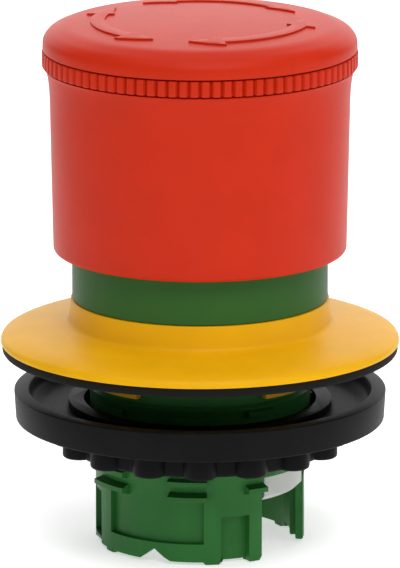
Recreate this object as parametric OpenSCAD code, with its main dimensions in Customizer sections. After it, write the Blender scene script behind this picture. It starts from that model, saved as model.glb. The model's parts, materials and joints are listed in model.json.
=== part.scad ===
// Emergency stop button: the operating head for a 22.3 mm panel hole.
// Millimetres. The origin is the centre of the gasket's underside, on the panel's front face.
// +Z runs up the axis to the cap. The front of the button looks along -Y.
// A bearing is an angle round the axis: 0 at the front, growing towards +X.

/* [Cap] */
// Outside radius of the cap at its grip band
cap_r = 14.95; // [14.8:0.05:15.2]
// Outside radius of the skirt just under the grip band's step
skirt_r = 14.2; // [14.0:0.05:14.4]
// Outside radius of the skirt at its lower edge
foot_r = 13.93; // [13.7:0.01:14.0]
// Radius of the hollow inside the skirt
cap_bore_r = 12.6; // [12.5:0.05:12.8]
// Height of the skirt's lower edge
foot_z = 9.8; // [9.6:0.1:10.4]
// Height where the skirt starts to curve out to the grip band
step_z = 23.3; // [22:0.1:24.5]
// Lower edge of the grip band
grip_z = 27.5; // [27.3:0.1:27.7]
// Top edge of the grip band
grip_top_z = 29.15; // [28.9:0.05:29.2]
// Height of the crowned top at the axis
crown_z = 32.15; // [31.9:0.05:32.4]

/* [Bezel and gasket] */
// Outside radius of the flange
flange_r = 19; // [18:0.1:20]
// Radius of the upright collar at the foot of its wall
collar_r = 12.45; // [12.4:0.05:12.6]
// Height of the collar's top edge
collar_z = 5.2; // [5:0.05:5.3]
// Outside radius of the panel gasket
gasket_r = 18.85; // [17.5:0.05:18.85]
// Thickness of the panel gasket
gasket_h = 0.9; // [0.7:0.05:1.0]
// Radius of the spigot that enters the panel hole
spigot_r = 11; // [10.8:0.05:11.0]

/* [Green collar] */
// Outside radius of the green indicator collar
sleeve_r = 12.17; // [12:0.01:12.2]
// Height of the collar's hidden top edge
sleeve_top_z = 13.5; // [13:0.1:14.5]

/* [Base housing] */
// Radius of the neck under the spigot
neck_r = 10.2; // [10.0:0.05:10.2]
// Radius at the crest of the thread
thread_r = 11; // [10.8:0.05:11.0]
// Distance from one thread crest to the next
thread_pitch = 1.5; // [1.4:0.05:1.6]
// Outside radius of the lower body
body_r = 9.98; // [9.9:0.01:10.2]
// Height of the lower body's bottom edge
body_z = -18.4; // [-19:0.1:-18]

/* [Clamp ring] */
// Outside radius of the dish at its rim
dish_r = 17.74; // [17:0.02:18]
// Height of the rim that meets the panel's back
dish_top_z = -3.75; // [-4:0.05:-3.6]
// Largest radius over the nut's lobes
nut_r = 14; // [13.8:0.05:14.1]
// Number of lobes round the nut
nut_lobes = 16; // [12:1:18]

/* [Latch] */
// Radius of each latch pin
pin_r = 1; // [0.9:0.05:1]
// Outward movement of a pin for each millimetre of press
pin_slope = 0.15; // [0.1:0.01:0.15]

/* [Hidden] */
$fn = 96;
fit = 0.05;                       // radial gap of a running fit
slack = 0.1;                      // gap behind a stop
far = 60;                         // longer than any cut

// cap
skirt_wall_top_z = 26.9;
roof_top_z = 28.2;
roof_hole_r = 4.95;
foot_round = 0.45;
under_grip_r = 14.75;
grip_line_h = 0.2;
lid_z = grip_top_z + 0.2;
lid_r = cap_r - 0.05;
lid_shoulder_z = crown_z - 2.25;
lid_edge_r = 12.8;
lid_edge_z = crown_z - 0.5;
lid_spigot_r = 12.85;
lid_spigot_in = 11.6;
lid_spigot_z = roof_top_z + fit;
lid_under_z = crown_z - 2;
lid_recess_r = 12.9;

// bezel, sleeve and gasket
flange_z = gasket_h;
bezel_step_z = 1.3;
collar_top_r = collar_r - 0.1;
collar_foot_z = 3.3;
collar_edge = 0.2;
fillet_r = collar_r + 0.75;
fillet_z = 2.6;
fillet_mid_r = collar_r + 0.25;
fillet_mid_z = 2.8;
rim_r = flange_r - 0.8;
rim_z = 1.8;
rim_edge_h = 0.3;
rim_edge_r = flange_r - 0.25;
rim_edge_z = 1.55;
gasket_chamfer = 0.25;
spigot_bore_r = neck_r + fit;
spigot_z = -1.6;
bezel_foot_r = 11.6;
lug_z = -2.6;
lug_gap = [-33, 34.5];
sleeve_foot_z = collar_z + fit;
sleeve_spigot_r = 11.45;
collar_bore_r = sleeve_spigot_r + fit;

// housing
tube_top_z = 12;
root_r = 10.5;
root_top_z = -3.4;
root_low_z = -9.4;
flare_low_z = -12;
latch_bore_r = 8.6;
latch_ledge_z = -2.5;
mid_bore_r = 7.6;
web_top_z = -7;
web_low_z = -8.2;
stem_bore_r = 4.08;
lower_bore_r = 8.6;
groove_r = 9.45;
groove_z = 0.1;
groove_h = 0.8;
oring_section_r = 0.38;
oring_bulge = 0.02;               // how far the O-ring stands out of its groove
crest_top_z = -3.9;               // no crest's middle is higher than this
crest_half = 0.22;
tooth_root_r = 9.4;
tooth_half = 0.7;
thread_segments = [[-66, -42, -11.8], [-16.5, 3.5, -12], [25, 40, -11.45],
    [101, 137, -11.1], [163.5, 183.5, -11.25], [205, 220, -10.7]];
window = [36, 80];
window_top_z = -10.5;
window_rebate = [79, 90];
window_rebate_r = 9.25;
panel = [-58, 2];
panel_z = [-16.6, -12.4];
panel_depth = 0.5;
pocket = [11.5, 28];
pocket_top_z = -14;
pocket_depth = 0.8;
strip = [-88, -70];
strip_z = [-17.6, -13.1];
strip_foot = [-87.5, -70.5];
strip_foot_z = -17.9;
between_posts = [[11.2, 27.7], [35.6, 116], [124, 182.4]];
post_drop = 0.25;
foot_low_z = body_z - post_drop;
vee = [-35, -17];
vee_h = 1.2;

// latch parts, bottom to top
latch_ring_r = 8.58;
latch_ring_top_z = 5.5;
latch_ring_top_r = 6.6;
latch_ring_low_r = latch_ring_top_r + pin_slope * (latch_ring_top_z - latch_ledge_z);
bush_top_z = 8;
seal_top_z = 10.4;
seal_r = 8.55;
seal_lip_w = 0.8;
seal_heel_w = 0.9;
seal_cup_h = 1.2;
bush_gap = 0.4;
retainer_bore_r = 5.6;
retainer_lip_h = 0.6;
join = 0.1;                       // how far two lumps of one piece run into each other

// plunger body
lobe_r = 9.9;
lobe_gap = 2;
lobe_top_z = window_top_z - slack;
lobe_chamfer = 0.45;
lobe_root = 0.5;
bell_r = 8.5;
bell_in_r = 7;
bell_low_z = -12.9;
bell_disc_z = -9.5;
bell_top_z = web_low_z - slack;
stem_r = 4;
carrier_z = -1;
carrier_r = 6.2;
carrier_top_z = 5;
carrier_tube_r = 5.2;
carrier_tube_in = 3.95;
carrier_tube_top_z = 16;
carrier_well_z = 3.9;
spindle_r = 2;
spindle_fit = 0.02;
spindle_top_z = 28.4;
spindle_head_r = 3.2;
spindle_head_h = 0.9;
pin_z = 2.5;
pin_tip_x = 6;
pin_back_x = 3.9;
clip_z = 27.4;
clip_h = 0.4;
clip_in_r = 1.62;
clip_out_r = 2.9;
clip_gap = 2.2;
clip_side_gap = 0.02;
clip_bore_gap = 0.01;
slot_w = 0.8;
slot_h = 0.45;
washer_rim_gap = 0.2;

// hub
hub_r = 3.9;
hub_z = 4;
hub_flange_r = 9;
hub_flange_z = 25.6;
hub_boss_r = 4.9;
hub_well_r = 3.6;
hub_well_z = 27;
cam_notches = 4;
cam_notch_w = 1.6;
cam_notch_h = 1;
washer_h = 0.4;
spring_washer_gap = 0.7;          // from the hub's boss to the washer's bore

// springs
wire_sides = 8;
turn_steps = 20;
seat_gap = 0.02;                  // gap at each end of the return spring
return_wire_r = 0.45;
return_mean_r = 7.2;
return_turns = 6.5;
twist_wire_r = 0.35;
twist_mean_r = 4.6;
twist_turns = 8;
pin_wire_r = 0.14;
pin_mean_r = 0.6;
pin_turns = 4;

// clamp ring
dish_low_z = dish_top_z - 2.8;
dish_low_r = dish_r - 0.17;
dish_chamfer = 0.25;
dish_rim_chamfer = 0.15;
dish_rim_in = dish_r - 1.39;
dish_floor_z = dish_low_z + 1.25;
dish_hole_r = 12.3;
nut_bore_r = thread_r + 0.1;
nut_low_z = dish_low_z - 2.85;
nut_collar_r = dish_hole_r - 0.1;
nut_lip_r = 12.55;
nut_lip_h = 0.55;
nut_core_r = 12.6;
lobe_round = 1.62;

// ---- shared shapes ----

// A ring between two radii and two heights
module ring(r_in, r_out, z_low, z_high) {
    difference() {
        translate([0, 0, z_low]) cylinder(r = r_out, h = z_high - z_low);
        translate([0, 0, z_low - 1]) cylinder(r = r_in, h = z_high - z_low + 2);
    }
}

// Part of a ring, from one bearing to another
module ring_part(r_in, r_out, z, span) {
    rotate([0, 0, span[0] - 90])
        rotate_extrude(angle = span[1] - span[0])
            translate([r_in, z[0]]) square([r_out - r_in, z[1] - z[0]]);
}

// The same feature at the front and, half a turn on, at the back
module both_sides() {
    children();
    rotate([0, 0, 180]) children();
}

// A round wire wound along the Z axis from z_low to z_high, flush between its two seats
module coil(mean_r, wire_r, z_low, z_high, turns) {
    steps = ceil(turns * turn_steps);
    rise = (z_high - z_low - 2 * wire_r) / steps;
    points = [for (i = [0:steps]) for (k = [0:wire_sides - 1])
        let (turn = i * 360 * turns / steps, side = k * 360 / wire_sides,
            out = mean_r + wire_r * cos(side))
        [out * cos(turn), out * sin(turn), z_low + wire_r + i * rise + wire_r * sin(side)]];
    walls = [for (i = [0:steps - 1]) for (k = [0:wire_sides - 1])
        let (n = (k + 1) % wire_sides)
        [i * wire_sides + k, (i + 1) * wire_sides + k, (i + 1) * wire_sides + n, i * wire_sides + n]];
    start = [for (k = [0:wire_sides - 1]) k];
    finish = [for (k = [0:wire_sides - 1]) (steps + 1) * wire_sides - 1 - k];
    polyhedron(points = points, faces = concat(walls, [start, finish]));
}

// ---- base housing ----

// The housing's outside before anything is cut
module housing_blank() {
    rotate_extrude()
        polygon([[0, foot_low_z], [body_r, foot_low_z], [body_r, flare_low_z], [root_r, root_low_z],
            [root_r, root_top_z], [neck_r, root_top_z + root_r - neck_r], [neck_r, tube_top_z],
            [0, tube_top_z]]);
}

// One interrupted stretch of thread: its two bearings and the height of its lowest crest
module thread_segment(span) {
    rotate([0, 0, span[0] - 90])
        rotate_extrude(angle = span[1] - span[0])
            for (z = [span[2]:thread_pitch:crest_top_z])
                translate([0, z])
                    polygon([[tooth_root_r, -tooth_half], [thread_r, -crest_half],
                        [thread_r, crest_half], [tooth_root_r, tooth_half]]);
}

// The V cut into the bottom rim
module vee_notch() {
    mid = (vee[0] + vee[1]) / 2 - 90;
    half_w = body_r * sin((vee[1] - vee[0]) / 2);
    rotate([0, 0, mid])
        translate([lower_bore_r - 1, 0, body_z])
            rotate([90, 0, 90])
                linear_extrude(body_r - lower_bore_r + 3)
                    polygon([[-2 * half_w, -vee_h], [0, vee_h], [2 * half_w, -vee_h]]);
}

// Every cut in the wall of the lower body on one side
module wall_cuts() {
    ring_part(lower_bore_r - 1, body_r + 2, [body_z - 1, window_top_z], window);
    ring_part(lower_bore_r - 1, window_rebate_r, [body_z - 1, window_top_z], window_rebate);
    ring_part(body_r - panel_depth, body_r + 2, panel_z, panel);
    ring_part(body_r - pocket_depth, body_r + 2, [body_z - 1, pocket_top_z], pocket);
    ring_part(body_r - panel_depth, body_r + 2, strip_z, strip);
    ring_part(lower_bore_r - 1, body_r + 2, [body_z - 1, strip_foot_z], strip_foot);
    for (span = between_posts)
        ring_part(lower_bore_r - 1, body_r + 2, [foot_low_z - 1, body_z], span);
    vee_notch();
}

// Green moulded housing: neck, thread, spring web and the legs that take the contact carrier
module base_housing() {
    color("#35693a") difference() {
        union() {
            housing_blank();
            for (span = thread_segments) thread_segment(span);
        }
        translate([0, 0, latch_ledge_z]) cylinder(r = latch_bore_r, h = far);
        translate([0, 0, web_top_z]) cylinder(r = mid_bore_r, h = far);
        translate([0, 0, web_low_z - 1]) cylinder(r = stem_bore_r, h = far);
        translate([0, 0, web_low_z - far]) cylinder(r = lower_bore_r, h = far);
        ring(groove_r, neck_r + 1, groove_z, groove_z + groove_h);
        both_sides() wall_cuts();
    }
}

// ---- fixed pieces round the housing ----

// Green collar that shows while the button is not pressed
module indicator_sleeve() {
    color("#2f5a2c") difference() {
        union() {
            translate([0, 0, sleeve_foot_z]) cylinder(r = sleeve_r, h = sleeve_top_z - sleeve_foot_z);
            translate([0, 0, bezel_step_z]) cylinder(r = sleeve_spigot_r, h = sleeve_foot_z);
        }
        translate([0, 0, -1]) cylinder(r = spigot_bore_r, h = far);
    }
}

// Yellow flange with its upright collar, panel spigot and two long lugs
module front_bezel() {
    color("#e8a701") difference() {
        rotate_extrude()
            polygon([[spigot_bore_r, lug_z], [spigot_r, lug_z], [spigot_r, 0], [bezel_foot_r, 0],
                [bezel_foot_r, flange_z], [flange_r, flange_z], [flange_r, flange_z + rim_edge_h],
                [rim_edge_r, rim_edge_z], [rim_r, rim_z], [fillet_r, fillet_z],
                [fillet_mid_r, fillet_mid_z], [collar_r, collar_foot_z],
                [collar_top_r, collar_z - collar_edge], [collar_top_r - collar_edge, collar_z],
                [collar_bore_r, collar_z], [collar_bore_r, bezel_step_z],
                [spigot_bore_r, bezel_step_z]]);
        both_sides() ring_part(spigot_bore_r - 1, spigot_r + 1, [lug_z - 1, spigot_z], lug_gap);
    }
}

// Flat rubber gasket under the flange
module panel_gasket() {
    color("#242421") difference() {
        rotate_extrude()
            polygon([[0, 0], [gasket_r - gasket_chamfer, 0], [gasket_r, gasket_chamfer],
                [gasket_r, gasket_h], [0, gasket_h]]);
        translate([0, 0, -1]) cylinder(r = bezel_foot_r + fit, h = far);
    }
}

// Rubber ring that seals the bezel to the housing
module bezel_oring() {
    color("#1c1c1c")
        rotate_extrude()
            translate([neck_r - oring_section_r + oring_bulge, groove_z + groove_h / 2])
                circle(r = oring_section_r, $fn = 32);
}

// Steel ring whose cone the latch pins run down
module latch_ring() {
    color("#b9bcc0") difference() {
        translate([0, 0, latch_ledge_z])
            cylinder(r = latch_ring_r, h = latch_ring_top_z - latch_ledge_z);
        translate([0, 0, latch_ledge_z])
            cylinder(r1 = latch_ring_low_r, r2 = latch_ring_top_r, h = latch_ring_top_z - latch_ledge_z);
        translate([0, 0, latch_ledge_z - 1]) cylinder(r = latch_ring_top_r, h = far);
    }
}

// Plastic bush that holds the latch ring down
module latch_bush() {
    color("#d9d6cf") ring(carrier_r + bush_gap, latch_ring_r, latch_ring_top_z, bush_top_z);
}

// Rubber lip seal round the carrier's tube
module stem_seal() {
    color("#202020") difference() {
        ring(carrier_tube_r + fit, seal_r, bush_top_z, seal_top_z);
        ring(carrier_tube_r + seal_lip_w, seal_r - seal_heel_w, bush_top_z - 1, bush_top_z + seal_cup_h);
    }
}

// Plastic cover that keeps the seal in and seats the return spring
module seal_retainer() {
    color("#d9d6cf") {
        ring(retainer_bore_r, latch_ring_r, seal_top_z, tube_top_z + retainer_lip_h);
        ring(latch_ring_r - join, neck_r, tube_top_z, tube_top_z + retainer_lip_h);
    }
}

// ---- pieces that move with the press ----

// A lobe that fills a window, chamfered along its lower edge
module plunger_lobe(span) {
    rotate([0, 0, span[0] - 90])
        rotate_extrude(angle = span[1] - span[0])
            polygon([[bell_r - lobe_root, bell_low_z], [lobe_r - lobe_chamfer, bell_low_z],
                [lobe_r, bell_low_z + lobe_chamfer], [lobe_r, lobe_top_z],
                [bell_r - lobe_root, lobe_top_z]]);
}

// White plunger: a bell that presses the contacts, with a lobe in each window
module plunger() {
    color("#e6e3e0") {
        difference() {
            union() {
                translate([0, 0, bell_low_z]) cylinder(r = bell_r, h = bell_top_z - bell_low_z);
                translate([0, 0, bell_top_z - join]) cylinder(r = stem_r, h = carrier_z - bell_top_z + join);
            }
            translate([0, 0, bell_low_z - 1]) cylinder(r = bell_in_r, h = bell_disc_z - bell_low_z + 1);
            translate([0, 0, bell_low_z - 1]) cylinder(r = spindle_r + spindle_fit, h = far);
        }
        both_sides() plunger_lobe([window[0] + lobe_gap, window[1] - lobe_gap]);
    }
}

// Carrier for the two latch pins, with the tube that the seal wipes
module latch_carrier() {
    color("#d9d6cf") difference() {
        union() {
            translate([0, 0, carrier_z]) cylinder(r = carrier_r, h = carrier_top_z - carrier_z);
            translate([0, 0, carrier_z]) cylinder(r = carrier_tube_r, h = carrier_tube_top_z - carrier_z);
        }
        translate([0, 0, carrier_well_z]) cylinder(r = carrier_tube_in, h = far);
        translate([0, 0, carrier_z - 1]) cylinder(r = spindle_r + spindle_fit, h = far);
        translate([-far / 2, 0, pin_z]) rotate([0, 90, 0]) cylinder(r = pin_r + fit, h = far);
    }
}

// Steel spindle with a slotted head below and a clip groove above
module spindle() {
    head_z = bell_disc_z - spindle_head_h;
    color("#b9bcc0") difference() {
        union() {
            translate([0, 0, head_z]) cylinder(r = spindle_head_r, h = spindle_head_h);
            translate([0, 0, head_z]) cylinder(r = spindle_r, h = spindle_top_z - head_z);
        }
        ring(clip_in_r, spindle_r + 1, clip_z, clip_z + clip_h);
        translate([-spindle_head_r - 1, -slot_w / 2, head_z - 1])
            cube([2 * spindle_head_r + 2, slot_w, slot_h + 1]);
    }
}

// Steel washer on the hub
module spindle_washer() {
    color("#c4c7ca") ring(spindle_r + fit, hub_well_r - washer_rim_gap, hub_well_z + fit, clip_z - fit);
}

// Open spring clip in the spindle's groove
module spindle_circlip() {
    color("#8f9296") difference() {
        ring(clip_in_r + clip_bore_gap, clip_out_r,
            clip_z + clip_side_gap, clip_z + clip_h - clip_side_gap);
        translate([0, -clip_gap / 2, clip_z - 1]) cube([clip_out_r + 1, clip_gap, clip_h + 2]);
    }
}

// Two small springs that push the latch pins out
module latch_springs() {
    color("#aeb1b5")
        both_sides()
            translate([0, 0, pin_z])
                rotate([0, 90, 0])
                    coil(pin_mean_r, pin_wire_r, spindle_r + slack, pin_back_x - fit, pin_turns);
}

// A pin with a domed tip, along +X
module latch_pin() {
    translate([pin_back_x, 0, pin_z]) rotate([0, 90, 0]) cylinder(r = pin_r, h = pin_tip_x - pin_back_x);
    translate([pin_tip_x, 0, pin_z]) sphere(r = pin_r);
}

module latch_pin_left() {
    color("#c4c7ca") rotate([0, 0, 180]) latch_pin();
}

module latch_pin_right() {
    color("#c4c7ca") latch_pin();
}

// Spring that lifts the cap back up
module return_spring() {
    color("#aeb1b5")
        coil(return_mean_r, return_wire_r, tube_top_z + retainer_lip_h + seat_gap,
            hub_flange_z - washer_h - fit - seat_gap, return_turns);
}

// ---- pieces that turn with the cap ----

// Hub on the spindle, with the cam notches that draw the latch pins back
module turn_hub() {
    color("#d9d6cf") difference() {
        union() {
            translate([0, 0, hub_z]) cylinder(r = hub_r, h = roof_top_z - hub_z);
            translate([0, 0, hub_flange_z]) cylinder(r = hub_flange_r, h = skirt_wall_top_z - hub_flange_z);
            translate([0, 0, hub_flange_z]) cylinder(r = hub_boss_r, h = roof_top_z - hub_flange_z);
        }
        translate([0, 0, hub_z - 1]) cylinder(r = spindle_r + fit, h = far);
        translate([0, 0, hub_well_z]) cylinder(r = hub_well_r, h = far);
        for (i = [0:cam_notches / 2 - 1])
            rotate([0, 0, i * 360 / cam_notches])
                translate([-hub_r - 1, -cam_notch_w / 2, hub_z - 1])
                    cube([2 * hub_r + 2, cam_notch_w, cam_notch_h + 1]);
    }
}

// The skirt's outline, from the axis out, with the roof that sits on the hub
module shell_outline() {
    polygon(concat(
        [[roof_hole_r, skirt_wall_top_z], [cap_bore_r, skirt_wall_top_z], [cap_bore_r, foot_z],
            [foot_r - foot_round, foot_z]],
        [for (a = [-60:30:0]) [foot_r + foot_round * (cos(a) - 1), foot_z + foot_round * (1 + sin(a))]],
        [for (a = [0:15:90])
            [skirt_r + (under_grip_r - skirt_r) * (1 - cos(a)),
                step_z + (grip_z - grip_line_h - step_z) * sin(a)]],
        [[under_grip_r, grip_z], [cap_r, grip_z], [cap_r, grip_top_z], [lid_recess_r, grip_top_z],
            [lid_recess_r, roof_top_z], [roof_hole_r, roof_top_z]]));
}

// Red skirt with the grip band
module cap_shell() {
    color("#e03c1f") rotate_extrude() shell_outline();
}

// Red crowned lid that snaps into the grip band
module cap_lid() {
    shoulder = [for (a = [0:15:90])
        [lid_edge_r + (lid_r - lid_edge_r) * cos(a), lid_shoulder_z + (lid_edge_z - lid_shoulder_z) * sin(a)]];
    crown = [for (i = [1:4]) let (r = lid_edge_r * (1 - i / 4))
        [r, lid_edge_z + (crown_z - lid_edge_z) * (1 - pow(r / lid_edge_r, 2))]];
    color("#e8503a")
        rotate_extrude()
            polygon(concat(
                [[0, lid_under_z], [lid_spigot_in, lid_under_z], [lid_spigot_in, lid_spigot_z],
                    [lid_spigot_r, lid_spigot_z], [lid_spigot_r, lid_z], [lid_r, lid_z]],
                shoulder, crown));
}

// Steel washer between the return spring and the hub
module spring_washer() {
    color("#c4c7ca") ring(hub_boss_r + spring_washer_gap, hub_flange_r - washer_rim_gap,
        hub_flange_z - washer_h - fit, hub_flange_z - fit);
}

// Torsion spring that brings the cap back to its middle
module twist_spring() {
    color("#aeb1b5")
        coil(twist_mean_r, twist_wire_r, carrier_tube_top_z + slack, hub_flange_z - slack, twist_turns);
}

// ---- clamp ring ----

// Black dish whose rim bears on the back of the panel
module clamp_dish() {
    color("#1a1a1a")
        rotate_extrude()
            polygon([[dish_hole_r, dish_low_z], [dish_low_r - dish_chamfer, dish_low_z],
                [dish_low_r, dish_low_z + dish_chamfer], [dish_r, dish_top_z - dish_rim_chamfer],
                [dish_r - dish_rim_chamfer, dish_top_z], [dish_rim_in, dish_top_z],
                [dish_rim_in, dish_floor_z], [dish_hole_r, dish_floor_z]]);
}

// Black lobed nut that swivels in the dish and runs on the housing's thread
module ring_nut() {
    color("#161616") difference() {
        union() {
            translate([0, 0, nut_low_z])
                linear_extrude(dish_low_z - fit - nut_low_z) {
                    circle(r = nut_core_r);
                    for (i = [0:nut_lobes - 1])
                        rotate(i * 360 / nut_lobes) translate([nut_r - lobe_round, 0]) circle(r = lobe_round);
                }
            translate([0, 0, nut_low_z])
                cylinder(r = nut_collar_r, h = dish_floor_z + fit - nut_low_z);
            translate([0, 0, dish_floor_z + fit]) cylinder(r = nut_lip_r, h = nut_lip_h);
        }
        translate([0, 0, nut_low_z - 1]) cylinder(r = nut_bore_r, h = far);
    }
}

base_housing();
indicator_sleeve();
front_bezel();
panel_gasket();
bezel_oring();
latch_ring();
latch_bush();
stem_seal();
seal_retainer();
plunger();
latch_carrier();
spindle();
spindle_washer();
spindle_circlip();
latch_springs();
latch_pin_left();
latch_pin_right();
return_spring();
turn_hub();
cap_shell();
cap_lid();
spring_washer();
twist_spring();
clamp_dish();
ring_nut();
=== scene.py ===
"""Emergency stop button: looks for the operating head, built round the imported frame."""

import bpy
import json
import math
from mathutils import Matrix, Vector


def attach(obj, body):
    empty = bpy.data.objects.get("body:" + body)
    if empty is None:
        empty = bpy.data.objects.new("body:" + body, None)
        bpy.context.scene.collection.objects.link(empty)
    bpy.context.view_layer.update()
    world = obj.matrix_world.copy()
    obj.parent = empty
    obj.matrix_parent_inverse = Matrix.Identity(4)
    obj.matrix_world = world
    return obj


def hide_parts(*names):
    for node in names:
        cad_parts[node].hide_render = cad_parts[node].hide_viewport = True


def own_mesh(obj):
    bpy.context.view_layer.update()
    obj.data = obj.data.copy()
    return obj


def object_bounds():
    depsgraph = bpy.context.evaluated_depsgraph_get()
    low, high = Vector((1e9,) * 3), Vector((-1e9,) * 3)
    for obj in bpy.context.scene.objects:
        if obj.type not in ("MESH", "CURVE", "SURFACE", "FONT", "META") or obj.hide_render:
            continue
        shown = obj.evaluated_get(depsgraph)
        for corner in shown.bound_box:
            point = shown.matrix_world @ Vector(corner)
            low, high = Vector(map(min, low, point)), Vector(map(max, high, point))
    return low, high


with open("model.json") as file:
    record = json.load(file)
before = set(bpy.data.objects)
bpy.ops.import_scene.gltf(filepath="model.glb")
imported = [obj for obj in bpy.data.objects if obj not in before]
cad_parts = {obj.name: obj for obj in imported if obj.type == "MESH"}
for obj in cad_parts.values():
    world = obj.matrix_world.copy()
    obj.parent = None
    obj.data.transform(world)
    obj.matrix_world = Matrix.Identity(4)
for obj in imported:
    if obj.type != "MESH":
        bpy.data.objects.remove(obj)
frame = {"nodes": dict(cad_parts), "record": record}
cad_low, cad_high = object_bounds()

MM = 0.001
FRONT = -90.0                  # direction of bearing 0, in degrees from +X: the front, along -Y
SAME = 0.001                   # points closer than this many millimetres are the same point
ROUND_STEPS = 240              # faces round a turned piece

# ---------------------------------------------------------------- workbench


def clear_selection():
    """Puts every object out of the selection, and leaves edit mode."""
    if bpy.context.object and bpy.context.object.mode != "OBJECT":
        bpy.ops.object.mode_set(mode="OBJECT")
    bpy.ops.object.select_all(action="DESELECT")


def take(piece):
    """Makes one piece the only selected and active object."""
    clear_selection()
    piece.select_set(True)
    bpy.context.view_layer.objects.active = piece


def edit(piece, kind="VERT"):
    """Opens a piece in edit mode with nothing selected."""
    take(piece)
    bpy.ops.object.mode_set(mode="EDIT")
    bpy.ops.mesh.select_mode(type=kind)
    bpy.ops.mesh.select_all(action="DESELECT")


def close_edit():
    """Goes back to object mode."""
    bpy.ops.object.mode_set(mode="OBJECT")


def pick(piece, kind, wanted):
    """Selects the vertices, edges or faces that pass the test, and stays in edit mode.

    The test gets a vertex's place or an edge's middle, or a face's middle and normal.
    """
    bpy.ops.mesh.select_mode(type=kind)
    bpy.ops.mesh.select_all(action="DESELECT")
    bpy.ops.object.mode_set(mode="OBJECT")
    mesh = piece.data
    corners = mesh.vertices
    if kind == "VERT":
        for v in corners:
            v.select = wanted(v.co)
    elif kind == "EDGE":
        for e in mesh.edges:
            e.select = wanted((corners[e.vertices[0]].co + corners[e.vertices[1]].co) / 2)
    else:
        for f in mesh.polygons:
            f.select = wanted(f.center, f.normal)
    bpy.ops.object.mode_set(mode="EDIT")


def radius_of(point):
    """Distance from the axis in millimetres."""
    return math.hypot(point.x, point.y) / MM


def height_of(point):
    """Height in millimetres."""
    return point.z / MM


def bearing_of(point):
    """Bearing from the front towards +X, from 0 to 360 degrees."""
    return (math.degrees(math.atan2(point.y, point.x)) - FRONT) % 360


def apply_modifier(piece, kind, **settings):
    """Adds a modifier, sets it and applies it."""
    take(piece)
    modifier = piece.modifiers.new(kind.lower(), kind)
    for key, value in settings.items():
        setattr(modifier, key, value)
    bpy.ops.object.modifier_apply(modifier=modifier.name)


def close_seams(piece, gap=0.002):
    """Merges doubled vertices, removes empty faces and turns every face outwards."""
    edit(piece)
    bpy.ops.mesh.select_all(action="SELECT")
    bpy.ops.mesh.remove_doubles(threshold=gap * MM)
    bpy.ops.mesh.dissolve_degenerate(threshold=0.0001 * MM)
    bpy.ops.mesh.normals_make_consistent(inside=False)
    close_edit()


def shade(piece, angle=34):
    """Shades smoothly across edges flatter than the angle."""
    take(piece)
    bpy.ops.object.shade_smooth_by_angle(angle=math.radians(angle))


def settle(piece):
    """Moves a piece's place into its mesh, so that its object sits at the origin."""
    take(piece)
    bpy.ops.object.transform_apply(location=True, rotation=True, scale=True)


def draw_path(name, points):
    """A closed path through points in metres, drawn by extruding a vertex from each to the next."""
    clear_selection()
    bpy.ops.mesh.primitive_plane_add(size=MM, location=points[0])
    piece = bpy.context.object
    piece.name = name
    piece.data.name = name
    settle(piece)
    bpy.ops.object.mode_set(mode="EDIT")
    bpy.ops.mesh.select_mode(type="VERT")
    bpy.ops.mesh.select_all(action="SELECT")
    bpy.ops.mesh.merge(type="CENTER")
    for before, after in zip(points, points[1:]):
        bpy.ops.mesh.extrude_region_move(TRANSFORM_OT_translate={"value": after - before})
    ends = (points[0], points[-1])
    pick(piece, "VERT", lambda p: min((p - e).length for e in ends) < SAME * MM)
    bpy.ops.mesh.edge_face_add()
    return piece


def draw_outline(name, outline):
    """A closed outline of (radius, height) or (radius, height, rounding) corners in millimetres."""
    points = [Vector((corner[0], 0, corner[1])) * MM for corner in outline]
    piece = draw_path(name, points)
    for rounding in sorted({corner[2] for corner in outline if len(corner) > 2}):
        corners = [p for p, c in zip(points, outline) if len(c) > 2 and c[2] == rounding]
        pick(piece, "VERT", lambda p: min((p - c).length for c in corners) < SAME * MM)
        bpy.ops.mesh.bevel(offset=rounding * MM, segments=4, affect="VERTICES")
    return piece


def turn(name, outline, steps=ROUND_STEPS, smooth=34):
    """A solid of revolution: the outline is drawn and then spun once round the axis."""
    piece = draw_outline(name, outline)
    bpy.ops.mesh.select_mode(type="VERT")
    bpy.ops.mesh.select_all(action="SELECT")
    bpy.ops.mesh.spin(steps=steps, angle=2 * math.pi, center=(0, 0, 0), axis=(0, 0, 1), dupli=False)
    close_edit()
    close_seams(piece)
    shade(piece, smooth)
    return piece


def copy_node(node, name, flatten=True):
    """A merged copy of a frame node's mesh, with flat faces made whole again if asked."""
    clear_selection()
    source = frame["nodes"][node]
    piece = bpy.data.objects.new(name, source.data.copy())
    piece.data.name = name
    piece.data.materials.clear()
    bpy.context.scene.collection.objects.link(piece)
    edit(piece)
    bpy.ops.mesh.select_all(action="SELECT")
    bpy.ops.mesh.remove_doubles(threshold=SAME * MM)
    bpy.ops.mesh.dissolve_degenerate(threshold=SAME / 2 * MM)
    if flatten:
        bpy.ops.mesh.dissolve_limited(angle_limit=math.radians(0.5), use_dissolve_boundaries=False)
    close_edit()
    if piece.data.has_custom_normals:
        bpy.ops.mesh.customdata_custom_splitnormals_clear()
    return piece


def soften(piece, width, angle=30, smooth=34):
    """Rounds the edges sharper than the angle a little, as a mould does."""
    apply_modifier(piece, "BEVEL", width=width * MM, segments=2, limit_method="ANGLE",
                   angle_limit=math.radians(angle), use_clamp_overlap=True, harden_normals=False)
    shade(piece, smooth)


def round_off(piece, width, wanted):
    """Rounds chosen edges by a larger amount than the rest."""
    edit(piece)
    pick(piece, "EDGE", wanted)
    bpy.ops.mesh.bevel(offset=width * MM, segments=4, affect="EDGES")
    close_edit()


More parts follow.
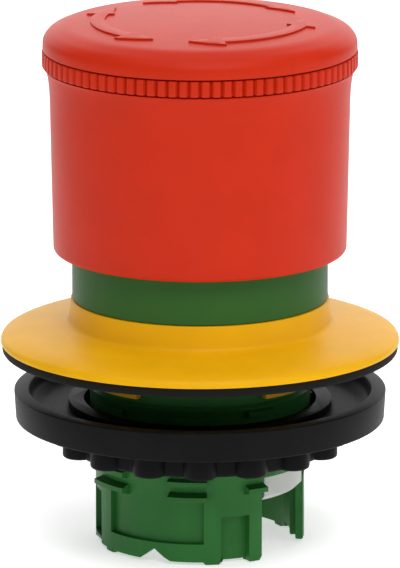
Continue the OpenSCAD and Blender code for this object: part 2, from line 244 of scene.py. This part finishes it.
def fit_up(piece, body, slot, finishes, *nodes):
    """Rides a finished piece on its body, in its slot's finish, and hides the nodes it replaces."""
    settle(piece)
    piece.data.materials.clear()
    piece.data.materials.append(finishes[slot].material)
    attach(piece, body)
    if nodes:
        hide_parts(*nodes)
    return piece


# ---------------------------------------------------------------- finishes


class Finish:
    """A node material laid out round one Principled shader."""

    def __init__(self, name, colour, roughness, specular=0.5, metallic=0.0):
        self.material = bpy.data.materials.new(name)
        self.material.use_nodes = True
        self.nodes = self.material.node_tree.nodes
        self.links = self.material.node_tree.links
        self.shader = self.nodes["Principled BSDF"]
        self.shader.inputs["Base Color"].default_value = (*colour, 1)
        self.shader.inputs["Roughness"].default_value = roughness
        self.shader.inputs["Specular IOR Level"].default_value = specular
        self.shader.inputs["Metallic"].default_value = metallic
        self.place = self.nodes.new("ShaderNodeTexCoord").outputs["Object"]
        self.height = None

    def join(self, out, into):
        self.links.new(out, into)

    def noise(self, size, detail=2.0, stretch=(1, 1, 1)):
        """Noise whose lumps are about size millimetres across."""
        place = self.place
        if stretch != (1, 1, 1):
            mapping = self.nodes.new("ShaderNodeMapping")
            mapping.inputs["Scale"].default_value = stretch
            self.join(self.place, mapping.inputs["Vector"])
            place = mapping.outputs["Vector"]
        node = self.nodes.new("ShaderNodeTexNoise")
        node.inputs["Scale"].default_value = 1 / (size * MM)
        node.inputs["Detail"].default_value = detail
        self.join(place, node.inputs["Vector"])
        return node.outputs["Fac"]

    def ramp(self, value, stops):
        """A colour ramp with (place, colour) stops."""
        node = self.nodes.new("ShaderNodeValToRGB")
        bar = node.color_ramp.elements
        while len(bar) < len(stops):
            bar.new(0.5)
        for element, (place, colour) in zip(bar, stops):
            element.position = place
            element.color = (*colour, 1)
        self.join(value, node.inputs["Fac"])
        return node.outputs["Color"]

    def between(self, value, low, high, from_low=0.3, from_high=0.7):
        """The value spread from one range to another."""
        node = self.nodes.new("ShaderNodeMapRange")
        node.inputs["From Min"].default_value = from_low
        node.inputs["From Max"].default_value = from_high
        node.inputs["To Min"].default_value = low
        node.inputs["To Max"].default_value = high
        self.join(value, node.inputs["Value"])
        return node.outputs["Result"]

    def bump(self, value, depth):
        """Adds relief of about depth millimetres."""
        node = self.nodes.new("ShaderNodeBump")
        node.inputs["Strength"].default_value = 1.0
        node.inputs["Distance"].default_value = depth * MM
        self.join(value, node.inputs["Height"])
        if self.height is not None:
            self.join(self.height, node.inputs["Normal"])
        self.height = node.outputs["Normal"]
        self.join(self.height, self.shader.inputs["Normal"])


def tint(colour, share):
    """A colour made lighter or darker by a share."""
    return tuple(min(1.0, c * share) for c in colour)


def moulded(name, colour, roughness, grain=0.12, relief=0.004, specular=0.5, variation=0.04):
    """Moulded plastic: eroded grain, faint flow marks and a roughness that wanders."""
    finish = Finish(name, colour, roughness, specular)
    cloud = finish.noise(4.0, 3.0)
    shades = [(0.3, tint(colour, 1 - variation)), (0.7, tint(colour, 1 + variation))]
    finish.join(finish.ramp(cloud, shades), finish.shader.inputs["Base Color"])
    fine = finish.noise(grain, 2.0)
    finish.join(finish.between(fine, roughness - 0.05, roughness + 0.06),
                finish.shader.inputs["Roughness"])
    finish.bump(finish.noise(6.0, 1.0), relief * 2)
    finish.bump(fine, relief)
    return finish


def rubber(name, colour, roughness):
    """Matt rubber with a pitted skin and a dusting of lighter specks."""
    finish = Finish(name, colour, roughness, 0.1)
    dust = finish.noise(0.25, 4.0)
    shades = [(0.35, tint(colour, 0.85)), (0.62, colour), (0.8, tint(colour, 1.8))]
    finish.join(finish.ramp(dust, shades), finish.shader.inputs["Base Color"])
    finish.join(finish.between(dust, roughness - 0.08, roughness + 0.08),
                finish.shader.inputs["Roughness"])
    finish.bump(dust, 0.006)
    return finish


def metal(name, colour, roughness, stretch):
    """Machined or drawn metal with fine lines left by the tool."""
    finish = Finish(name, colour, roughness, 0.5, 1.0)
    lines = finish.noise(0.5, 3.0, stretch)
    shades = [(0.3, tint(colour, 0.82)), (0.7, colour)]
    finish.join(finish.ramp(lines, shades), finish.shader.inputs["Base Color"])
    finish.join(finish.between(lines, roughness - 0.07, roughness + 0.1),
                finish.shader.inputs["Roughness"])
    finish.bump(lines, 0.002)
    return finish


def make_finishes():
    """Every finish on the button, by the record's slot name."""
    return {
        "cap_red": moulded("red_cap_plastic", (0.54, 0.024, 0.005), 0.42, 0.10, 0.0035, 0.1),
        "collar_green": moulded("green_collar_plastic", (0.031, 0.115, 0.021), 0.45,
                                0.14, 0.004, 0.1),
        "housing_green": moulded("green_glass_filled_plastic", (0.025, 0.148, 0.029), 0.4,
                                 0.2, 0.006, 0.14, 0.08),
        "bezel_yellow": moulded("yellow_bezel_plastic", (0.80, 0.41, 0.0035), 0.42,
                                0.12, 0.004, 0.1),
        "gasket_rubber": rubber("panel_gasket_rubber", (0.007, 0.007, 0.0065), 0.7),
        "seal_rubber": rubber("stem_seal_rubber", (0.015, 0.015, 0.016), 0.6),
        "ring_black": moulded("black_ring_plastic", (0.0062, 0.0062, 0.0065), 0.45,
                              0.15, 0.004, 0.06, 0.15),
        "plunger_white": moulded("white_plunger_plastic", (0.50, 0.52, 0.48), 0.4,
                                 0.15, 0.004, 0.3),
        "inner_plastic": moulded("natural_inner_plastic", (0.68, 0.66, 0.61), 0.4, 0.15, 0.004),
        "turned_steel": metal("turned_steel", (0.62, 0.61, 0.6), 0.3, (1, 1, 12)),
        "spring_wire": metal("drawn_spring_wire", (0.55, 0.55, 0.56), 0.25, (1, 1, 8)),
    }


# ---------------------------------------------------------------- the cap

# Sizes are in millimetres and angles in degrees. Heights start at the panel's front face.
CROWN_Z = 32.15                # the lid's highest point
CROWN_DROP = 0.5               # how much lower the crown is at its shoulder
CROWN_R = (0, 2, 4, 6, 8, 10, 11.5)
SHOULDER_R = 12.8
LID_R = 14.9
LID_Z = 29.28                  # the lid's lower edge
LID_RING = (11.6, 12.85)       # inner and outer radius of the ring that enters the skirt
LID_RING_Z = 28.25
LID_INSIDE_Z = 30.15
ARROW_RISE = 0.17              # how far the arrows stand out of the crown
ARROW_FOOT_Z = 31.3            # the block that an arrow is cut from: its foot and its height
ARROW_BLOCK = 1.2
BLANK_R = (0, 3, 6, 8, 9, 10, 11, 12)
BLANK_Z = 31.0                 # foot of the crowned blank that cuts the block
BLANK_STEPS = 180
ARROW_R = (9.0, 10.35)         # inner and outer edge of an arrow's shaft
SHAFT_STEPS = 20
BARB_R = (8.45, 11.25)
BARB_ANGLE = 31.0              # from the arrow's middle to its barbs
TIP_R = 9.85
TIP_ANGLE = 50.0
HEAD_STEPS = 4
FIRST_ARROW = 73.7             # where the first arrow's middle is, from +X
ARROWS = 3
SKIRT_Z = (9.8, 28.9)
WALL_R = 12.6                  # the inside of the skirt
SWEEP_FROM = (14.2, 23.3)      # radius and height where the skirt starts to sweep out
SWEEP_BY = (0.55, 4.2)
FLOOR_Z = (26.9, 28.2)         # the cap's inner floor
FLOOR_HOLE_R = 4.95
BAND_FOOT_R = 14.25            # the inside of the grip band
BAND_R = 14.95
BAND_Z = (27.65, 29.15)
RIBS = 90
RIB_STEPS = 10                 # columns of vertices to a rib
FLUTE_R = (14.55, 14.72, 14.9)  # a flute's middle column, and the next ones on either side


def crown_height(radius):
    """Height of the crowned top at a radius, in millimetres."""
    return CROWN_Z - CROWN_DROP * (radius / SHOULDER_R) ** 2


def make_lid():
    """The crowned disc with its rounded shoulder and the ring that locates it in the cap."""
    crown = [(r, crown_height(r)) for r in CROWN_R]
    rim = [(SHOULDER_R, 31.64, 0.5), (14.25, 31.05, 0.3), (14.86, 30.35, 0.4), (LID_R, LID_Z, 0.1)]
    under = [(13.0, LID_Z), (LID_RING[1], LID_RING_Z, 0.1), (LID_RING[0], LID_RING_Z, 0.1),
             (LID_RING[0], LID_INSIDE_Z), (0, LID_INSIDE_Z)]
    return turn("cap_lid_disc", crown + rim + under)


def polar(radius, angle, height):
    """A point in metres, from millimetres and degrees from +X."""
    turned = math.radians(angle)
    return Vector((radius * math.cos(turned), radius * math.sin(turned), height)) * MM


def head_side(barb_r):
    """One side of an arrow's head, from the barb at this radius to the tip."""
    return [(barb_r + (TIP_R - barb_r) * i / HEAD_STEPS,
             BARB_ANGLE + (TIP_ANGLE - BARB_ANGLE) * i / HEAD_STEPS) for i in range(HEAD_STEPS + 1)]


def make_arrow():
    """One raised arrow with a head at each end, bent round the axis and crowned like the lid."""
    sweep = [BARB_ANGLE * (2 * i / SHAFT_STEPS - 1) for i in range(SHAFT_STEPS + 1)]
    head = head_side(BARB_R[1]) + head_side(BARB_R[0])[-2::-1]
    outline = [(ARROW_R[1], a) for a in sweep] + head
    outline += [(ARROW_R[0], -a) for a in sweep] + [(r, -a) for r, a in reversed(head)]
    arrow = draw_path("cap_arrow_1",
                      [polar(r, a + FIRST_ARROW, ARROW_FOOT_Z) for r, a in outline])
    bpy.ops.mesh.select_all(action="SELECT")
    bpy.ops.mesh.edge_face_add()
    bpy.ops.mesh.extrude_region_move(TRANSFORM_OT_translate={"value": (0, 0, ARROW_BLOCK * MM)})
    close_edit()
    close_seams(arrow)
    top = [(r, crown_height(r) + ARROW_RISE) for r in BLANK_R]
    blank = turn("crown_blank", top + [(BLANK_R[-1], BLANK_Z), (0, BLANK_Z)], BLANK_STEPS)
    apply_modifier(arrow, "BOOLEAN", operation="INTERSECT", object=blank, solver="EXACT")
    bpy.data.objects.remove(blank)
    close_seams(arrow, 0.02)
    soften(arrow, 0.05, angle=40, smooth=30)
    return arrow


def copy_turned(piece, name, angle):
    """A copy with its own mesh, turned round the axis."""
    copy = bpy.data.objects.new(name, piece.data.copy())
    copy.data.name = name
    bpy.context.scene.collection.objects.link(copy)
    copy.rotation_euler.z = math.radians(angle)
    settle(copy)
    return copy


def make_skirt():
    """The cap's skirt: nearly straight, then swept out under the grip band."""
    foot = [(WALL_R, SKIRT_Z[0], 0.12), (13.93, SKIRT_Z[0], 0.42)]
    sweep = [(SWEEP_FROM[0] + SWEEP_BY[0] * (1 - math.cos(math.radians(a))),
              SWEEP_FROM[1] + SWEEP_BY[1] * math.sin(math.radians(a))) for a in range(0, 100, 10)]
    rim = [(14.3, 27.55), (14.3, SKIRT_Z[1]), (12.95, SKIRT_Z[1]), (12.95, FLOOR_Z[1])]
    inside = [(FLOOR_HOLE_R, FLOOR_Z[1]), (FLOOR_HOLE_R, FLOOR_Z[0]), (WALL_R, FLOOR_Z[0])]
    return turn("cap_skirt", foot + sweep + rim + inside, smooth=30)


def make_grip_band():
    """The band of fine ribs: a turned ring with a narrow flute sunk between each two ribs."""
    outline = [(BAND_FOOT_R, BAND_Z[0]), (BAND_R, BAND_Z[0], 0.14),
               (BAND_R, BAND_Z[1], 0.14), (BAND_FOOT_R, BAND_Z[1])]
    columns = RIBS * RIB_STEPS
    piece = turn("cap_grip_band", outline, columns, 30)
    edit(piece)
    for away, radius in enumerate(FLUTE_R):
        pick(piece, "VERT", lambda p: radius_of(p) > 14.5
             and round(bearing_of(p) * columns / 360) % RIB_STEPS in (away, RIB_STEPS - away))
        share = radius / BAND_R
        bpy.ops.transform.resize(value=(share, share, 1), center_override=(0, 0, 0))
    close_edit()
    shade(piece, 25)
    return piece


# ---------------------------------------------------------------- collar, bezel, gasket


COLLAR_R = 12.17
COLLAR_Z = (1.3, 13.5)
SEAT_R = 10.25                 # inside of the collar and of the bezel's spigot, over the housing
FLANGE_R = 18.98
FLANGE_Z = 0.9                 # the flange's lower face, on the gasket
SPIGOT_R = 11.0
SPIGOT_Z = -1.6
LUG_Z = -2.6
LUG_SPAN = (34.5, 147.0)       # bearings of one lug; the other is half a turn on
GASKET_R = (11.65, 18.85)
DISH_R = 12.3                  # inside of the clamp dish
DISH_Z = (-6.55, -5.3, -3.75)  # the dish's lower face, its recess and its upper edge


def make_collar():
    """The green collar that shows while the button is up."""
    outline = [(COLLAR_R, 5.25, 0.12), (COLLAR_R, COLLAR_Z[1], 0.2), (SEAT_R, COLLAR_Z[1], 0.2),
               (SEAT_R, COLLAR_Z[0]), (11.45, COLLAR_Z[0]), (11.45, 5.25)]
    return turn("green_collar", outline)


def make_bezel():
    """The flange with its upright collar, and the two-lugged spigot that enters the panel hole."""
    flange = [(FLANGE_R, FLANGE_Z, 0.06), (FLANGE_R, 1.45, 0.35), (17.9, 2.0, 0.8),
              (13.35, 2.66, 0.3), (12.5, 2.94, 0.35)]
    upright = [(12.3, 5.2, 0.13), (11.5, 5.2, 0.1), (11.5, COLLAR_Z[0]), (SEAT_R, COLLAR_Z[0])]
    spigot = [(SEAT_R, SPIGOT_Z), (SPIGOT_R, SPIGOT_Z), (SPIGOT_R, 0.0), (11.6, 0.0),
              (11.6, FLANGE_Z)]
    piece = turn("yellow_bezel", flange + upright + spigot)
    edit(piece)
    pick(piece, "FACE", lambda p, n: abs(height_of(p) - SPIGOT_Z) < 0.01 and n.z < -0.9
         and LUG_SPAN[0] < bearing_of(p) % 180 < LUG_SPAN[1])
    drop = (0, 0, (LUG_Z - SPIGOT_Z) * MM)
    bpy.ops.mesh.extrude_region_move(TRANSFORM_OT_translate={"value": drop})
    close_edit()
    shade(piece)
    return piece


def make_gasket():
    """The flat gasket under the flange."""
    outline = [(GASKET_R[0], 0.0, 0.15), (GASKET_R[1], 0.0, 0.25),
               (GASKET_R[1], FLANGE_Z, 0.15), (GASKET_R[0], FLANGE_Z, 0.1)]
    return turn("panel_gasket_ring", outline)


# ---------------------------------------------------------------- clamp ring


def make_dish():
    """The black dish that bears on the back of the panel."""
    low, recess, high = DISH_Z
    outline = [(DISH_R, low, 0.12), (17.57, low, 0.14), (17.74, high, 0.12), (16.35, high, 0.12),
               (16.1, -5.0, 0.5), (15.4, recess, 0.3), (DISH_R, recess, 0.12)]
    return turn("clamp_dish_ring", outline)


# ---------------------------------------------------------------- springs

SPRING_FOOT_Z = 12.62          # where the return spring stands
RETURN_SPRING = {"mean_r": 7.2, "wire_r": 0.45, "z_low": SPRING_FOOT_Z, "z_high": 25.13,
                 "turns": 6.5}
TWIST_SPRING = {"mean_r": 4.6, "wire_r": 0.35, "z_low": 16.1, "z_high": 25.5, "turns": 8}


def wind(name, mean_r, wire_r, z_low, z_high, turns, sides=14, steps=40):
    """A round wire wound on the axis: a circle taken round by a screw modifier, then closed."""
    clear_selection()
    bpy.ops.mesh.primitive_circle_add(vertices=sides, radius=wire_r * MM, fill_type="NOTHING",
                                      location=(mean_r * MM, 0, (z_low + wire_r) * MM),
                                      rotation=(math.pi / 2, 0, 0))
    piece = bpy.context.object
    piece.name = name
    piece.data.name = name
    settle(piece)
    rise = z_high - z_low - 2 * wire_r
    apply_modifier(piece, "SCREW", angle=2 * math.pi * turns, steps=round(steps * turns),
                   render_steps=round(steps * turns), screw_offset=rise * MM,
                   use_merge_vertices=False)
    edit(piece, "EDGE")
    bpy.ops.mesh.select_non_manifold(extend=False)
    bpy.ops.mesh.edge_face_add()
    close_edit()
    close_seams(piece, 0.0005)
    shade(piece, 50)
    return piece


# ---------------------------------------------------------------- building

FOOT_Z = -18.3                 # edges lower than this are the foot of the lower body
FOOT_ROUNDING = 0.2
LOBES_Z = -9.35                # edges lower and further out than this are the lobes' lower edges
LOBES_R = 12.3
LOBE_ROUNDING = 0.35


def build(finishes):
    """Every new piece, on its body and in its finish."""
    fit_up(make_lid(), "cap", "cap_red", finishes, "cap_lid")
    fit_up(make_skirt(), "cap", "cap_red", finishes, "cap_shell")
    fit_up(make_grip_band(), "cap", "cap_red", finishes)
    arrow = make_arrow()
    arrows = [arrow] + [copy_turned(arrow, f"cap_arrow_{i + 1}", 360 / ARROWS * i)
                        for i in range(1, ARROWS)]
    for piece in arrows:
        fit_up(piece, "cap", "cap_red", finishes)
    fit_up(make_collar(), "housing", "collar_green", finishes, "indicator_sleeve")
    fit_up(make_bezel(), "housing", "bezel_yellow", finishes, "front_bezel")
    fit_up(make_gasket(), "housing", "gasket_rubber", finishes, "panel_gasket")
    fit_up(make_dish(), "clamp_dish", "ring_black", finishes, "clamp_dish")
    housing = copy_node("base_housing", "green_housing")
    round_off(housing, FOOT_ROUNDING, lambda p: height_of(p) < FOOT_Z)
    shade(housing)
    fit_up(housing, "housing", "housing_green", finishes, "base_housing")
    plunger = copy_node("plunger", "white_plunger", flatten=False)
    shade(plunger)
    fit_up(plunger, "plunger", "plunger_white", finishes, "plunger")
    nut = copy_node("ring_nut", "lobed_nut")
    round_off(nut, LOBE_ROUNDING, lambda p: height_of(p) < LOBES_Z and radius_of(p) > LOBES_R)
    soften(nut, 0.14)
    fit_up(nut, "ring_nut", "ring_black", finishes, "ring_nut")
    spring = wind("return_spring_coil", **RETURN_SPRING)
    fit_up(spring, "housing", "spring_wire", finishes, "return_spring")
    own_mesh(spring)
    coil = wind("twist_spring_coil", **TWIST_SPRING)
    fit_up(coil, "cap", "spring_wire", finishes, "twist_spring")


def finish_nodes(finishes):
    """Gives each CAD node that still shows the finish of its slot."""
    for row in frame["record"]["subparts"]:
        mesh = frame["nodes"][row["node"]].data
        mesh.materials.clear()
        mesh.materials.append(finishes[row["material_slot"]].material)


# ---------------------------------------------------------------- studio

# Places and sizes here are in metres.
CAMERA_LENS = 466.3
CAMERA_PLACE = (0, -0.6804, 0.1710)
CAMERA_AIM = (0, 0, 0.00636)
LAMP_AIM = (0, 0, 0.008)
FLOOR_SIZE = 6
FLOOR_GAP = 0.00002            # how far the floor is below the lowest point
FLOOR_GLOW = 0.53
WORLD_LIGHT = 0.07
LAMPS = (
    ("top_box", (0.0, 0.0, 0.6), (0.7, 0.6), 2.1),
    ("back_box", (0.0, 0.6, 0.25), (1.2, 0.5), 3.6),
    ("left_box", (-0.5, -0.12, 0.12), (0.3, 0.5), 0.1),
    ("right_box", (0.5, -0.12, 0.12), (0.3, 0.5), 0.5),
    ("front_box", (0.08, -0.4, 0.5), (0.5, 0.3), 2.3),
)


def make_camera():
    """The camera, a little above the button and far back."""
    data = bpy.data.cameras.new("studio_camera")
    data.lens = CAMERA_LENS
    data.sensor_width = 36
    data.clip_start = 0.05
    data.clip_end = 10
    camera = bpy.data.objects.new("studio_camera", data)
    bpy.context.scene.collection.objects.link(camera)
    camera.location = CAMERA_PLACE
    aim = Vector(CAMERA_AIM) - camera.location
    camera.rotation_euler = aim.to_track_quat("-Z", "Y").to_euler()
    bpy.context.scene.camera = camera


def make_lamp(name, place, size, power):
    """One soft box, turned to the button."""
    data = bpy.data.lights.new(name, "AREA")
    data.shape = "RECTANGLE"
    data.size, data.size_y = size
    data.energy = power
    lamp = bpy.data.objects.new(name, data)
    bpy.context.scene.collection.objects.link(lamp)
    lamp.location = place
    aim = Vector(LAMP_AIM) - Vector(place)
    lamp.rotation_euler = aim.to_track_quat("-Z", "Y").to_euler()


def make_floor():
    """A wide sheet of pale paper, lit a little from within so that shadows stay faint."""
    clear_selection()
    bpy.ops.mesh.primitive_plane_add(size=FLOOR_SIZE, location=(0, 0, cad_low.z - FLOOR_GAP))
    floor = bpy.context.object
    floor.name = "studio_floor"
    paper = Finish("studio_paper", (0.86, 0.86, 0.86), 0.9, 0.1)
    shades = [(0.3, (0.85, 0.85, 0.85)), (0.7, (0.87, 0.87, 0.87))]
    paper.join(paper.ramp(paper.noise(40, 2.0), shades), paper.shader.inputs["Base Color"])
    paper.shader.inputs["Emission Color"].default_value = (1, 1, 1, 1)
    paper.shader.inputs["Emission Strength"].default_value = FLOOR_GLOW
    floor.data.materials.append(paper.material)


def make_studio():
    """Pale floor, soft light from above, behind and both sides, and the camera."""
    make_floor()
    world = bpy.data.worlds.new("studio_world")
    bpy.context.scene.world = world
    world.use_nodes = True
    background = world.node_tree.nodes["Background"]
    background.inputs["Color"].default_value = (1, 1, 1, 1)
    background.inputs["Strength"].default_value = WORLD_LIGHT
    for name, place, size, power in LAMPS:
        make_lamp(name, place, size, power)
    bpy.context.scene.view_settings.view_transform = "Standard"
    make_camera()


finishes = make_finishes()
build(finishes)
finish_nodes(finishes)
make_studio()
